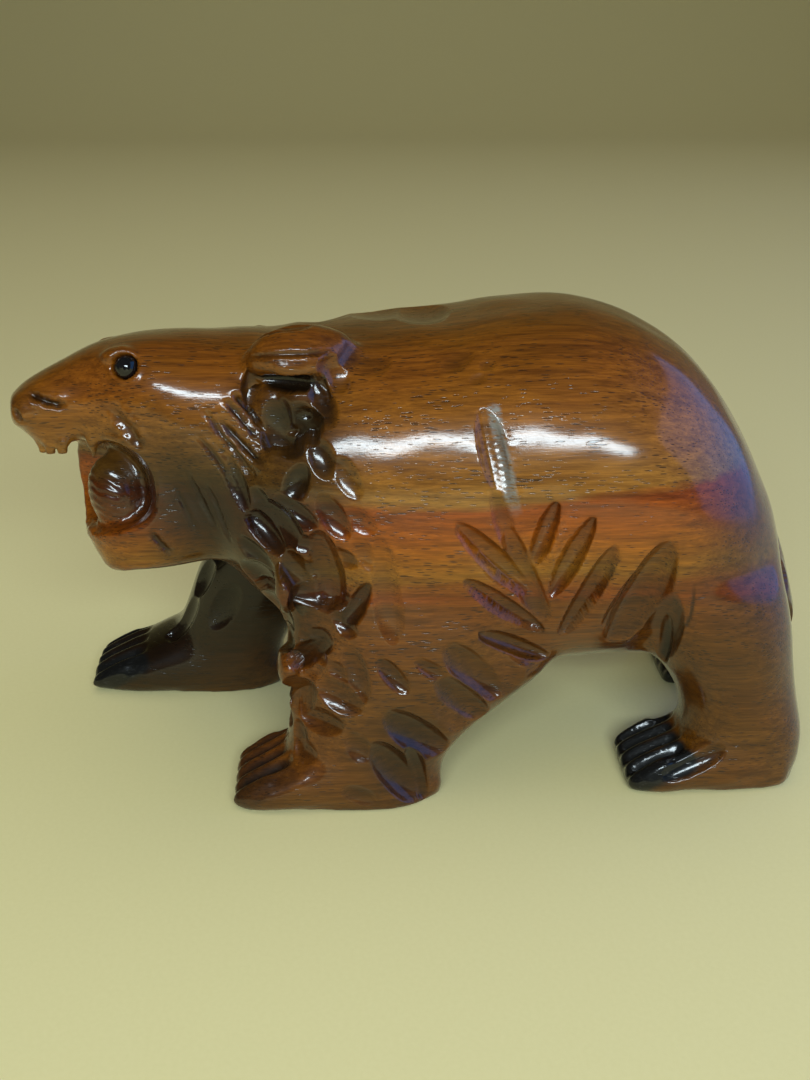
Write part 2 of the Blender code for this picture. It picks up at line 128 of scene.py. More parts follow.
FORELEG = [
    ((44.8, -1, 48.6), (41.5, 16, 31.5), 9, 2.3, 0.35),
    ((45.3, -2, 42.5), (40.5, 13.5, 23.5), 8, 2.1, 0.45),
    ((45.5, -17.5, 31.5), (42.9, 2.5, 15.5), 8.5, 2.1, 0.4),
    ((45.2, -10, 27.5), (43.5, 0.5, 12), 5, 1.5, 0.5),
    ((45.9, -16.5, 20.5), (42.8, -4, 2), 8.5, 2.1, 0.4),
    ((44.3, -7, 20.5), (41.8, -2.5, 1), 5.5, 1.8, 0.55),
    ((41.2, -28.5, 76), (40.6, -26, 55.5), 8, 1.9, 0.45),
    ((37.8, -37.5, 70.5), (39.6, -28.5, 56), 7, 1.9, 0.5),
    ((43, -16.5, 63.5), (42.5, -25, 48), 5.5, 2.3, 0.75),
    ((42.5, -23.5, 51), (35, -37, 37.5), 6.5, 2.3, 0.7),
    ((36.4, -35.5, 41.5), (38.3, -34, 26.5), 8, 1.5, 0.3),
    ((39.6, -32, 36.5), (45.4, -16, 29.5), 9, 1.7, 0.35),
    ((43.5, -22, 47.5), (45, -18, 31.5), 7, 1.5, 0.4),
    ((44.8, -15, 44.5), (45.5, -7, 34.5), 5.5, 1.5, 0.45),
    ((38.6, -35, 26.2), (45.2, -20, 24), 6.5, 1.5, 0.4),
    ((43, -14, 71.5), (44.5, -10.5, 47.5), 7.5, 1.1, 0.25),
    ((37, -38, 50), (22, -40, 49), 11, 2.0, 0.6),
    ((37, -37.5, 30), (22, -38.5, 30), 11, 1.6, 0.6),
    ((34, -39, 64), (20, -42, 62), 11, 2.2, 0.7),
    ((38, -37, 16.5), (44, -29, 15.5), 6, 1.2, 0.5),
    ((40.5, -33, 58), (43, -24, 57), 6, 1.3, 0.5),
    ((38.5, -35.5, 50), (41.5, -28, 41), 6, 1.5, 0.5),
    ((43.5, -27.5, 42), (45, -21, 36), 5.5, 1.2, 0.4),
    ((44, -22, 24), (45.6, -17, 15), 6.5, 1.2, 0.35),
    ((39, -36, 24), (41, -34, 14), 6, 1.4, 0.5),
    ((44.8, -6, 44), (44, 4, 37), 4.5, 1.1, 0.5),
    ((43.5, -20, 75), (44, -14, 66), 6.5, 1.2, 0.4),
    ((42.5, -22, 83), (44, -15, 76), 6, 1.0, 0.35),
    ((37, -37.5, 62), (39.5, -32, 54), 6.5, 1.6, 0.6),
    ((44.9, -24.5, 8), (45.2, -15, 3), 6, 1.0, 0.4),
]
RUFF = [
    ((34.5, -43, 81.5), (40, -31, 71.5), 11, 2.8, 0.75),
    ((33, -46, 79), (38.5, -37, 69), 6, 2.0, 0.8),
    ((37.5, -39, 84), (41, -28, 77), 6, 1.8, 0.7),
    ((38.5, -36, 74), (42, -26, 70), 6, 1.7, 0.7),
    ((38.1, -31, 93), (38.6, -35.5, 82.5), 6.5, 1.9, 0.8),
    ((40.6, -28.2, 86), (42.1, -21, 74.5), 7, 1.7, 0.6),
    ((35.5, -29, 99), (38.5, -24.5, 88), 6.5, 1.5, 0.6),
    ((38.5, -24, 96), (41.5, -18.5, 84), 6, 1.0, 0.4),
    ((31.5, -49, 92), (33, -44.5, 76), 5, 1.5, 0.7),
    ((32, -43, 88), (35.5, -39, 76), 5.5, 1.7, 0.8),
    ((30.5, -47.5, 72), (35.5, -40, 62), 7, 2.0, 0.8),
    ((30.8, 1.5, 112), (24, 9, 116.5), 6, 0.6, 0.5),
    ((29, -18.5, 110), (21.7, -12, 115), 8, 0.7, 0.5),
    ((30, 10.5, 112), (28, 14.5, 113.2), 4, 0.6, 0.6),
    ((32.5, 8, 109.5), (31, 12, 110.5), 3.4, 0.5, 0.6),
    ((38.5, -36.5, 58), (24, -41, 57), 7, 2.4, 0.7),
    ((37.5, -37, 44), (23, -40, 43), 6.5, 2.4, 0.7),
    ((37.5, -36.5, 31.5), (24, -39, 31), 6, 2.0, 0.6),
    ((37.6, -37, 22), (25, -38, 22), 7, 1.8, 0.6),
    ((40, -33, 66), (43.5, -24, 62), 7, 1.7, 0.7),
    ((42, -28, 70), (44, -19, 68), 6, 1.5, 0.6),
    ((39.5, -34, 46), (43, -27, 49), 6.5, 1.7, 0.6),
    ((43, -27, 55), (44.8, -20, 50), 5.5, 1.5, 0.6),
    ((41, -30, 64), (43.5, -21, 56), 6, 1.6, 0.6),
]
# On the head, so the other side's are mirrored in the head's own frame.
EAR = [
    ((28, -43, 109.5), (31, -25, 110), 5, 3.0, 1.0),
    ((27.5, -40, 109), (28.5, -36, 93), 7.5, 1.2, 0.6),
    ((29.5, -33, 109), (31.5, -29, 93), 7.5, 1.2, 0.8),
    ((30, -27.5, 110), (33.5, -24, 98), 6, 1.2, 0.8),
    ((27.5, -25.5, 117.5), (30, -24, 109), 8, 1.3, 0.3),
    ((30.5, -30, 102), (34, -24, 95), 5.5, 1.6, 0.8),
    ((24, -46, 112), (27.5, -43, 104), 4.5, 1.2, 0.7),
    ((24, -40, 119), (22, -28, 120.5), 7, 0.9, 0.4),
    ((31.7, -35.8, 95.2), (37.6, -32, 92.3), 5, 0.9, 0.8),
]
# On the right side only
FAR_NAPE = [
    ((-27, -28, 110), (-3, -23, 117.5), 13, 1.1, 0.35),
    ((-26, -18, 111), (0, -12.5, 118.8), 13, 1.1, 0.35),
    ((-24, -7, 113), (2, -2, 119.6), 12, 1.0, 0.35),
]
FAR_FORELEG = [
    ((-16, -56, 56), (-17, -64, 42), 9, 1.8, 0.5),
    ((-16, -64, 46), (-18, -74, 32), 8, 1.8, 0.5),
    ((-17, -52, 38), (-18, -62, 22), 9, 1.6, 0.5),
    ((-18, -70, 32), (-20, -82, 20), 7, 1.4, 0.5),
]
# On the left side only
HIND_PAW_FACETS = [((40.8, 75, 13), (41.6, 60, 4.6), 7, 1.5, 0.6)]
RUMP = [
    ((24, 98, 66), (10, 103, 44), 13, 2.6, 0.35),
    ((22, 101, 36), (6, 104, 24), 11, 2.4, 0.45),
]

# Cuts left by a V tool: the points along it, its width, its depth and how dark the shade painted into it is.
HEAD_CUTS = [
    ([(20.6, -98.3, 106.6), (22.8, -94.9, 104.8), (23.2, -91.6, 103.5), (23.6, -88, 103.3)], 2.8, 1.3, 0.9),
    ([(22.6, -101.6, 102.2), (23.1, -100.3, 100.5), (22.6, -99, 98.8)], 2.2, 0.8, 0.7),
    ([(26, -77.2, 104), (26.5, -75.2, 100.2), (27.2, -72.7, 97.5), (27.8, -70.5, 92.5)], 4.0, 0.9, 0.5),
    ([(29.2, -50, 106), (29.9, -45.7, 100.9), (31.8, -41.5, 96)], 2.4, 1.0, 0.8),
    ([(29.6, -52.3, 102), (30.9, -46.1, 95.3), (35, -40.5, 90.4)], 2.4, 1.0, 0.8),
    ([(29.8, -55, 104), (31.3, -50, 96.4), (31.8, -44, 88)], 2.2, 0.8, 0.7),
    ([(28.6, -48, 107.4), (27.4, -44.2, 102.4), (27.6, -41, 98.4)], 2.0, 0.9, 0.8),
    ([(30.2, -57, 98), (31.5, -52, 91), (32.5, -47.5, 82)], 2.0, 0.6, 0.6),
    ([(28.9, -60, 88.5), (26.8, -56.9, 79.6), (27.3, -53.5, 71.5)], 1.8, 0.45, 0.5),
    ([(28.6, -63.5, 84), (27.4, -61, 77), (26.5, -58.5, 70)], 1.8, 0.4, 0.5),
    ([(29.4, -56, 85), (28.4, -52.5, 77), (28.6, -49.5, 69)], 1.8, 0.5, 0.5),
    ([(28.4, -70.2, 72), (27.6, -67.6, 68), (26.5, -65, 64.5)], 2.6, 0.9, 0.8),
    ([(26.2, -46, 115), (30.2, -38, 116.8), (30.6, -30, 117.2), (27.5, -23, 116.8)], 2.0, 0.7, 0.6),
    ([(22, -46.5, 118), (24, -38, 120.5), (23, -30, 121.5)], 1.8, 0.45, 0.5),
    ([(30, -29.5, 113), (31.2, -27, 109), (30.4, -25, 105)], 2.2, 0.8, 0.8),
]
SPLIT = [(38.2, 13, 105), (41.6, 14.6, 96.5), (44.9, 16.4, 87.8), (45.5, 18.4, 81)]
FLANK_CUTS = [
    (SPLIT, 3.0, 0.5, 0.3),
    ([(46.6, 43.5, 71.5), (45.6, 39.5, 63), (43, 35.5, 55.5)], 1.2, 0.35, 0.7),
    ([(46.8, 62.3, 63), (45, 62, 55), (41, 60.5, 46)], 1.2, 0.35, 0.7),
]
HEAD_RAGGED = 0.25
FLANK_RAGGED = 0.12

# A paw's claws: the middle of the row across, the roots and the tips along Y, and how black they are. The black
# is the claws' paint; the far forepaw's is raised to full black, which also paints in the shade that falls on
# that paw.
PAWS = [(32, -40.9, -52.9, 0.4), (-31.5, -86.9, -100.4, 1.0), (28.5, 62.1, 50.6, 1.0), (-27.5, 86.1, 75.1, 1.0)]
CLAW_COUNT = 5
CLAW_SPACING = 5.2
CLAW_CUT_WIDTH = 3.6
CLAW_CUT_DEPTH = 1.7
# How dark the shade painted into the cuts between the claws is
CLAW_CUT_DARK = 0.8
CLAW_INK_REACH = 4.4
CLAW_INK_FADE = 1.2

# The eye sockets: the gap round the bead, and the height of the lid round it
SOCKET_GAP = 0.28
LID_HEIGHT = 0.35

# The unevenness left by hand: the number of waves, their lengths and their height
WAVES = 16
WAVE_LENGTHS = (11, 24)
WAVE_HEIGHT = 0.028

# Painted shade, where shade falls on the bear: the middle, the reach and how dark.
SHADED = [
    ((30, -35, 101), 20, 0.95),
    ((38, -38, 80), 20, 0.9),
    ((40, 84, 78), 36, 0.75),
    ((27, -64, 90), 22, 0.5),
    ((30, -46, 62), 16, 0.6),
    ((36, -34, 50), 13, 0.5),
    ((10, -20, 120), 24, 0.35),
    ((24, -101, 104), 8, 0.5),
    ((40, -48, 4), 14, 0.5),
    ((36, 46, 34), 14, 0.5),
    ((14, 103, 40), 26, 0.55),
    ((-31, -58, 34), 58, 1.0),
    ((-32, -88, 8), 34, 0.95),
    ((20, -80, 82), 22, 0.8),
    ((12, -72, 78), 20, 0.8),
    ((28, -56, 78), 24, 0.85),
    ((36, 20, 30), 14, 0.4),
    ((45, -8, 10), 16, 0.5),
    ((38, -28, 92), 18, 0.6),
    ((-25, -50, 40), 52, 0.95),
    ((-24, -78, 16), 32, 0.9),
    ((26, -52, 74), 32, 0.85),
    ((40, -34, 62), 22, 0.6),
    ((44, -6, 22), 17, 0.5),
    ((42, 72, 40), 36, 0.3),
]


# ---------------------------------------------------------------- meshes

def linked(name, mesh):
    obj = bpy.data.objects.new(name, mesh)
    bpy.context.scene.collection.objects.link(obj)
    return obj


def baked(obj):
    """The object's mesh with its modifiers applied. The object is removed."""
    graph = bpy.context.evaluated_depsgraph_get()
    mesh = bpy.data.meshes.new_from_object(obj.evaluated_get(graph))
    bpy.data.objects.remove(obj)
    return mesh


def fused(mesh, voxel, smoothing):
    obj = linked("clay", mesh)
    remesh = obj.modifiers.new("fuse", "REMESH")
    remesh.mode = "VOXEL"
    remesh.voxel_size = voxel * MM
    if smoothing:
        ease = obj.modifiers.new("ease", "SMOOTH")
        ease.factor = 0.5
        ease.iterations = smoothing
    return baked(obj)


def smoothed(mesh, rounds, factor=0.5):
    """Where smoothing would move the mesh's points to."""
    obj = linked("clay", mesh.copy())
    ease = obj.modifiers.new("ease", "SMOOTH")
    ease.factor = factor
    ease.iterations = rounds
    return points_of(baked(obj))


def points_of(mesh):
    points = np.zeros(len(mesh.vertices) * 3, np.float32)
    mesh.vertices.foreach_get("co", points)
    return points.reshape(-1, 3).astype(float)


def set_points(mesh, points):
    mesh.vertices.foreach_set("co", points.astype(np.float32).reshape(-1))
    mesh.update()


def mesh_of(form):
    mesh = bpy.data.meshes.new("clay")
    form.to_mesh(mesh)
    form.free()
    return mesh


def joined(*meshes):
    form = bmesh.new()
    for mesh in meshes:
        form.from_mesh(mesh)
    return mesh_of(form)


def head_frame():
    turn = Matrix.Rotation(HEAD_TURN, 4, "Z") @ Matrix.Rotation(-HEAD_ROLL, 4, "Y")
    return Matrix.Translation(HEAD_PIVOT) @ turn


HEAD = head_frame()
MIRROR = Matrix.Diagonal((-1, 1, 1, 1))
HEAD_MIRROR = HEAD @ MIRROR @ HEAD.inverted()


def ball(form, middle, radii, turn=0, place=HEAD):
    """Adds an ellipsoid in millimetres, turned about X by turn degrees."""
    spin = Matrix.Rotation(math.radians(turn), 4, "X")
    sized = Matrix.Scale(MM, 4) @ place @ Matrix.Translation(middle) @ spin @ Matrix.Diagonal((*radii, 1))
    bmesh.ops.create_icosphere(form, subdivisions=4, radius=1, matrix=sized)


def spike(form, root, tip, root_radius, tip_radius, flat=1.0, place=HEAD):
    """Adds a tapered peg in millimetres. flat is its second half size as a share of its first."""
    root, tip = Vector(root), Vector(tip)
    along = (tip - root).to_track_quat("Z", "Y").to_matrix().to_4x4()
    along.translation = (root + tip) / 2
    sized = Matrix.Scale(MM, 4) @ place @ along @ Matrix.Diagonal((1, flat, 1, 1))
    bmesh.ops.create_cone(form, cap_ends=True, segments=24, radius1=root_radius, radius2=tip_radius,
                          depth=(tip - root).length, matrix=sized)


# ---------------------------------------------------------------- the block

def plugs(form):
    """Plain pegs that fill the drilled eye sockets, so that they can be cut again finely."""
    for side in ("left", "right"):
        seat, inward, radius = eye_seat(side)
        start = seat + inward * 0.2
        end = seat + inward * 13.5
        spike(form, start, end, radius + 0.6, radius + 0.6, place=Matrix.Identity(4))


def eye_seat(side):
    """The bead's middle, the direction into the head and the bead's radius, in millimetres."""
    bead_low, bead_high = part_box("eye_bead_" + side)
    wire_low, wire_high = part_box("eye_wire_" + side)
    bead = (bead_low + bead_high) / 2
    inward = ((wire_low + wire_high) / 2 - bead).normalized()
    return bead / MM, inward, (bead_high.z - bead_low.z) / 2 / MM


def eased_block():
    """The CAD body without its facets: broad surfaces are eased a lot, and carved detail a little."""
    form = bmesh.new()
    plugs(form)
    block = joined(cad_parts["carved_body"].data, mesh_of(form))
    block = fused(block, COARSE_VOXEL, 0)
    light = smoothed(block, LIGHT_ROUNDS)
    heavy = smoothed(block, HEAVY_ROUNDS)
    shift = np.linalg.norm(heavy - light, axis=1)
    keep = np.clip((shift / MM - DETAIL_SHIFT) / DETAIL_SPAN, 0, 1)
    keep = keep * keep * (3 - 2 * keep)
    points = light * keep[:, None] + heavy * (1 - keep[:, None])
    set_points(block, points)
    points = smoothed(block, LAST_ROUNDS)
    points[:, 2] = np.maximum(points[:, 2], 0)
    set_points(block, points)
    return block


def teeth(form):
    """A canine and three front teeth on each side of the upper jaw."""
    for side in (1, -1):
        root, tip = [(side * x, y, z) for x, y, z in CANINE]
        spike(form, root, tip, *CANINE_RADII, 0.85)
        for k in range(FRONT_TEETH):
            angle = math.radians(FIRST_TOOTH_ANGLE + TOOTH_ANGLE_STEP * k)
            root = (side * 8.0 * math.sin(angle), -51 - 7.6 * math.cos(angle), -3)
            tip = (side * 7.6 * math.sin(angle), -51 - 7.4 * math.cos(angle), -9.4)
            spike(form, root, tip, *TOOTH_RADII, 0.8)


def raised_parts():
    """What is added to the eased block: teeth, tongue, ear folds, the front of the chest and the tail."""
    form = bmesh.new()
    teeth(form)
    ball(form, *TONGUE)
    for lumps, other_side in ((EAR_FOLDS, HEAD_MIRROR), (CHEST_KNOBS, MIRROR)):
        for place in (Matrix.Identity(4), other_side):
            for lump in lumps:
                ball(form, *lump, place)
    ball(form, *TAIL, Matrix.Identity(4))
    return mesh_of(form)


# ---------------------------------------------------------------- the carving

class Skin:
    """The bear's surface while it is carved: its points and normals in millimetres, its painted shade, and the
    dried wood and black claw paint on it.
    """

    def __init__(self, mesh):
        self.mesh = mesh
        self.points = points_of(mesh) / MM
        self.dark = np.zeros(len(self.points))
        self.ink = np.zeros(len(self.points))
        self.pale = np.zeros(len(self.points))
        self.refresh()

    def refresh(self):
        """Takes the surface as it now stands for the next cuts to lean on."""
        set_points(self.mesh, self.points * MM)
        normals = np.zeros(len(self.points) * 3, np.float32)
        self.mesh.vertex_normals.foreach_get("vector", normals)
        self.normals = normals.reshape(-1, 3).astype(float)
        form = bmesh.new()
        form.from_mesh(self.mesh)
        bmesh.ops.scale(form, vec=(1 / MM, 1 / MM, 1 / MM), verts=form.verts)
        self.tree = BVHTree.FromBMesh(form)
        form.free()

    def near(self, low, high, margin):
        """The indices of the points in a box."""
        inside = (self.points > np.array(low) - margin) & (self.points < np.array(high) + margin)
        return np.flatnonzero(inside.all(axis=1))

    def scoop(self, start, end, width, depth, dark):
        """Presses the surface in by an ellipsoid that leans on it, as a gouge's cut would."""
        start, end = Vector(start), Vector(end)
        middle, normal, _, _ = self.tree.find_nearest((start + end) / 2)
        along = end - start
        x_axis = (along - along.project(normal)).normalized()
        height = max(0.5 * width, depth * 1.05)
        outline = math.sqrt(1 - ((height - depth) / height) ** 2)
        radii = (along.length / 2 / outline, width / 2 / outline, height)
        self.press(middle + normal * (height - depth), x_axis, normal, radii, dark)

    def press(self, middle, x_axis, normal, radii, dark):
        place = np.array([x_axis, normal.cross(x_axis), normal]).T * np.array(radii)
        reach = max(radii)
        picked = self.near(np.array(middle) - reach, np.array(middle) + reach, 0)
        local = (self.points[picked] - np.array(middle)) @ np.linalg.inv(place).T
        flat = (local[:, 0] ** 2 + local[:, 1] ** 2).clip(0, 1)
        floor = -np.sqrt(1 - flat)
        inside = (flat < 1) & (local[:, 2] > floor) & (local[:, 2] < -floor)
        sunk = (local[inside, 2] - floor[inside]) * radii[2]
        local[inside, 2] = floor[inside]
        touched = picked[inside]
        self.points[touched] = local[inside] @ place.T + np.array(middle)
        # Painted shade in the scoop, darker where it is deeper.
        shade = dark * np.clip(sunk / 1.1, 0, 1)
        self.dark[touched] = np.maximum(self.dark[touched], shade)

    def cut(self, line, width, depth, dark, ragged=0.0):
        """Cuts a V along the line, with its edges raised a little."""
        line = self.laid(line)
        picked = self.near(line.min(axis=0), line.max(axis=0), width)
        if not len(picked):
            return
        gap, share = distances(self.points[picked], line)
        ends = np.clip(np.minimum(share, 1 - share) / 0.22, 0, 1)
        wobble = 1 + ragged * np.sin(share * 61) * np.sin(share * 37 + 1)
        across = gap / (0.5 * width * wobble)
        profile = np.clip(1 - across, 0, 1)
        rise = 0.22 * np.exp(-(((across - 1.25) / 0.4) ** 2))
        lower = depth * ends * (profile - rise)
        self.points[picked] -= self.normals[picked] * lower[:, None]
        # Painted shade in the groove, darkest along its middle.
        self.dark[picked] = np.maximum(self.dark[picked], dark * ends * np.clip(profile * 1.6, 0, 1))

    def laid(self, line):
        """A smooth run of points on the surface through the given ones."""
        line = np.array(line, float)
        steps = np.concatenate([[0], np.cumsum(np.linalg.norm(np.diff(line, axis=0), axis=1))])
        slopes = np.gradient(line, steps, axis=0)
        at = np.linspace(0, steps[-1], max(8, int(steps[-1] / 0.6)))
        span = np.clip(np.searchsorted(steps, at, side="right") - 1, 0, len(line) - 2)
        gap = steps[span + 1] - steps[span]
        t = ((at - steps[span]) / gap)[:, None]
        a, b = line[span], line[span + 1]
        blend = t * t * (3 - 2 * t)
        bend = t * (1 - t) * gap[:, None]
        run = a + (b - a) * blend + bend * ((1 - t) * slopes[span] - t * slopes[span + 1])
        return np.array([self.tree.find_nearest(Vector(point))[0] for point in run])

    def ripple(self, middle, reach, axis, wavelength, height):
        """Small ridges across the axis, as a blade that chatters leaves."""
        away = self.points - np.array(middle)
        picked = np.flatnonzero((np.abs(away) < np.array(reach)).all(axis=1))
        inner = 1 - np.max(np.abs(away[picked]) / np.array(reach), axis=1)
        fade = np.clip(inner / 0.3, 0, 1)
        along = away[picked] @ np.array(Vector(axis).normalized())
        wander = 0.7 * np.sin(away[picked] @ np.array((1.3, 0.9, 0.4)))
        wave = np.sin(math.tau * along / wavelength + wander)
        self.points[picked] += self.normals[picked] * (height * fade * wave)[:, None]


def distances(points, line):
    """Each point's distance to a line of points, and the share of the line where it is nearest."""
    best = np.full(len(points), 1e9)
    share = np.zeros(len(points))
    count = len(line) - 1
    for k in range(count):
        a, along = line[k], line[k + 1] - line[k]
        t = np.clip((points - a) @ along / max(along @ along, 1e-9), 0, 1)
        gap = np.linalg.norm(points - a - t[:, None] * along, axis=1)
        closer = gap < best
        best[closer] = gap[closer]
        share[closer] = (k + t[closer]) / count
    return best, share


def moved(point, matrix, chance):
    """The point on the other side of the bear, a little off, since no two sides are cut alike."""
    return matrix @ Vector(point) + Vector(chance.normal(0, 0.5, 3))


def scooped(skin, gouges, matrix=None, chance=None):
    for start, end, width, depth, dark in gouges:
        if matrix is not None:
            start, end = moved(start, matrix, chance), moved(end, matrix, chance)
            width *= chance.uniform(0.9, 1.1)
        skin.scoop(start, end, width, depth, dark)


def scored(skin, cuts, ragged, matrix=None, chance=None):
    for line, width, depth, dark in cuts:
        if matrix is not None:
            line = [moved(point, matrix, chance) for point in line]
        skin.cut(line, width, depth, dark, ragged)


def claws(skin):
    """V cuts between the claws of each paw, with shade painted into the cuts, and the black stain over the
    claws.
    """
    for middle, root, tip, black in PAWS:
        for k in range(CLAW_COUNT + 1):
            across = middle + (k - CLAW_COUNT / 2) * CLAW_SPACING
            line = [(across, root + 5, 13), (across, (root + tip) / 2, 8), (across, tip - 1, 2.5)]
            if 0 < k < CLAW_COUNT:
                skin.cut(line, CLAW_CUT_WIDTH, CLAW_CUT_DEPTH, CLAW_CUT_DARK)
        for k in range(CLAW_COUNT):
            across = middle + (k - (CLAW_COUNT - 1) / 2) * CLAW_SPACING
            nail = np.array([(across, root + 3, 8.5), (across, tip - 2, 1.0)])
            picked = skin.near(nail.min(axis=0), nail.max(axis=0), 6)
            gap, _ = distances(skin.points[picked], nail)
            cover = np.clip((CLAW_INK_REACH - gap) / CLAW_INK_FADE, 0, 1)
            skin.ink[picked] = np.maximum(skin.ink[picked], black * cover)


def dried(skin):
    """The grey, dried wood in the split down the left flank."""
    line = skin.laid(SPLIT)
    picked = skin.near(line.min(axis=0), line.max(axis=0), 4)
    gap, share = distances(skin.points[picked], line)
    skin.pale[picked] = np.clip((1.9 - gap) / 0.7, 0, 1) * np.clip((1 - share) / 0.25, 0, 1)


def eye_sockets(skin):
    for side in ("left", "right"):
        seat, inward, radius = eye_seat(side)
        outward = -inward
        x_axis = outward.orthogonal().normalized()
        picked = skin.near(seat, seat, 8)
        away = skin.points[picked] - np.array(seat)
        across = np.linalg.norm(away - np.outer(away @ np.array(outward), np.array(outward)), axis=1)
        lid = LID_HEIGHT * np.exp(-(((across - radius - 1.0) / 0.8) ** 2))
        skin.points[picked] += np.outer(lid, np.array(outward))
        bowl = radius + SOCKET_GAP
        # The bowl round the bead gets painted shade.
        skin.press(Vector(seat), x_axis, outward, (bowl, bowl, bowl), 0.9)


def undulated(skin, chance):
    """The faint unevenness of a surface rounded by hand: a sum of long waves."""
    lift = np.zeros(len(skin.points))
    for _ in range(WAVES):
        direction = chance.normal(size=3)
        direction *= math.tau / chance.uniform(*WAVE_LENGTHS) / np.linalg.norm(direction)
        lift += np.sin(skin.points @ direction + chance.uniform(0, math.tau))
    skin.points += skin.normals * (lift * WAVE_HEIGHT)[:, None]


def shaded(skin):
    # Paints shade into the colour round each place in SHADED.
    for middle, reach, dark in SHADED:
        gap = np.linalg.norm(skin.points - np.array(middle), axis=1) / reach
        fade = np.clip(1 - gap, 0, 1)
        fade = fade * fade * (3 - 2 * fade)
        skin.dark = 1 - (1 - skin.dark) * (1 - dark * fade)


def carved_bear():
    chance = np.random.default_rng(SEED)
    block = joined(eased_block(), raised_parts())
    block = fused(block, FINE_VOXEL, 2)
    skin = Skin(block)
    undulated(skin, chance)
    body_gouges = FLANK + FORELEG + RUFF
    scooped(skin, body_gouges + EAR + FAR_NAPE + FAR_FORELEG + HIND_PAW_FACETS + RUMP)
    scooped(skin, body_gouges + RUMP, MIRROR, chance)
    scooped(skin, EAR, HEAD_MIRROR, chance)
    skin.refresh()
    scored(skin, HEAD_CUTS, HEAD_RAGGED)
    scored(skin, HEAD_CUTS, HEAD_RAGGED, HEAD_MIRROR, chance)
    scored(skin, FLANK_CUTS, FLANK_RAGGED)
    scored(skin, FLANK_CUTS, FLANK_RAGGED, MIRROR, chance)
    claws(skin)
    skin.refresh()
    dried(skin)
    skin.ripple(tuple(HEAD @ Vector((2.5, -46, -22))), (9, 7, 11), (0, 0.3, 1), 2.1, 0.1)
    eye_sockets(skin)
    shaded(skin)
    skin.points[:, 2] = np.maximum(skin.points[:, 2], 0)
    set_points(block, skin.points * MM)
    for name, values in (("dark", skin.dark), ("ink", skin.ink), ("pale", skin.pale)):
        layer = block.attributes.new(name, "FLOAT", "POINT")
        layer.data.foreach_set("value", values.astype(np.float32))
    bear = linked("carved_bear", block)
    bear.data.shade_smooth()
    return bear


# ---------------------------------------------------------------- materials

class Nodes:
    """Short ways to add shader nodes to a new material."""

    def __init__(self, name):
        self.material = bpy.data.materials.new(name)
        self.material.use_nodes = True
        self.tree = self.material.node_tree
        self.surface = self.tree.nodes["Principled BSDF"]

    def put(self, socket, value):
        if isinstance(value, bpy.types.NodeSocket):
            self.tree.links.new(value, socket)
        else:
            socket.default_value = value

    def add(self, kind, inputs=None, **settings):
        node = self.tree.nodes.new(kind)
        for key, value in settings.items():
            setattr(node, key, value)
        for key, value in (inputs or {}).items():
            self.put(node.inputs[key], value)
        return node

    def math(self, operation, a, b=0.0, clamp=False):
        node = self.add("ShaderNodeMath", {0: a, 1: b}, operation=operation, use_clamp=clamp)
        return node.outputs[0]

    def span(self, value, low, high, out_low=0.0, out_high=1.0, smooth=False):
        inputs = {"Value": value, "From Min": low, "From Max": high, "To Min": out_low, "To Max": out_high}
        kind = "SMOOTHSTEP" if smooth else "LINEAR"
        return self.add("ShaderNodeMapRange", inputs, interpolation_type=kind).outputs["Result"]

    def mix(self, share, a, b, blend="MIX"):
        node = self.add("ShaderNodeMix", data_type="RGBA", blend_type=blend)
        self.put(node.inputs["Factor"], share)
        self.put(node.inputs[6], a)
        self.put(node.inputs[7], b)
        return node.outputs[2]

    def place(self, scale=(1, 1, 1)):
        """Object coordinates in millimetres, scaled."""
        where = self.add("ShaderNodeTexCoord").outputs["Object"]
        size = tuple(s / MM for s in scale)
        return self.add("ShaderNodeMapping", {"Vector": where, "Scale": size}).outputs[0]

    def noise(self, scale, detail=3.0, roughness=0.5):
        inputs = {"Vector": self.place(scale), "Scale": 1.0, "Detail": detail, "Roughness": roughness}
        return self.add("ShaderNodeTexNoise", inputs).outputs["Fac"]

    def ramp(self, value, stops):
        node = self.add("ShaderNodeValToRGB", {"Fac": value})
        marks = node.color_ramp.elements
        while len(marks) < len(stops):
            marks.new(0.5)
        for mark, (where, colour) in zip(marks, stops):
            mark.position = where
            mark.color = (*colour, 1)
        return node.outputs["Color"]


TALL = 125.0  # millimetres that the growth bands' ramp covers
BAND_SLOPE = 0.02  # how far the bands drop for each millimetre towards the tail
# Each band's height in millimetres and its colour
BANDS = [
    (0, (0.110, 0.042, 0.004)),
    (24, (0.112, 0.038, 0.003)),
    (44, (0.122, 0.040, 0.003)),
    (55, (0.150, 0.045, 0.003)),
    (57, (0.200, 0.042, 0.003)),
    (61, (0.210, 0.062, 0.004)),
    (64, (0.260, 0.105, 0.009)),
    (69, (0.290, 0.092, 0.005)),
    (75, (0.300, 0.072, 0.003)),
    (84, (0.250, 0.048, 0.003)),
    (87, (0.270, 0.120, 0.018)),
    (95, (0.250, 0.098, 0.012)),
    (104, (0.230, 0.080, 0.006)),
    (113, (0.195, 0.063, 0.003)),
    (125, (0.120, 0.040, 0.002)),
]


RED_BLOTCH = (0.17, 0.042, 0.004, 1)
PORE_COLOUR = (0.016, 0.006, 0.001, 1)
DRIED_COLOUR = (0.24, 0.22, 0.20, 1)
# The colour of the painted shade.
PAINTED_SHADE_COLOUR = (0.003, 0.0015, 0.0006, 1)
INK_COLOURS = ((0.004, 0.004, 0.004, 1), (0.022, 0.021, 0.020, 1))
STREAK_TINTS = [(0.3, (0.55, 0.5, 0.45)), (0.7, (1.3, 1.3, 1.25))]
FIBRE_TINTS = [(0.3, (0.7, 0.68, 0.66)), (0.7, (1.2, 1.2, 1.2))]
BASE_SETTINGS = {
    "Coat Weight": 1.0,
    "Coat Roughness": 0.12,
    "Coat IOR": 1.45,
    "Specular IOR Level": 0.1,
}
WOOD_RELIEF = 0.00012  # metres
COAT_RELIEF = 0.00007  # metres


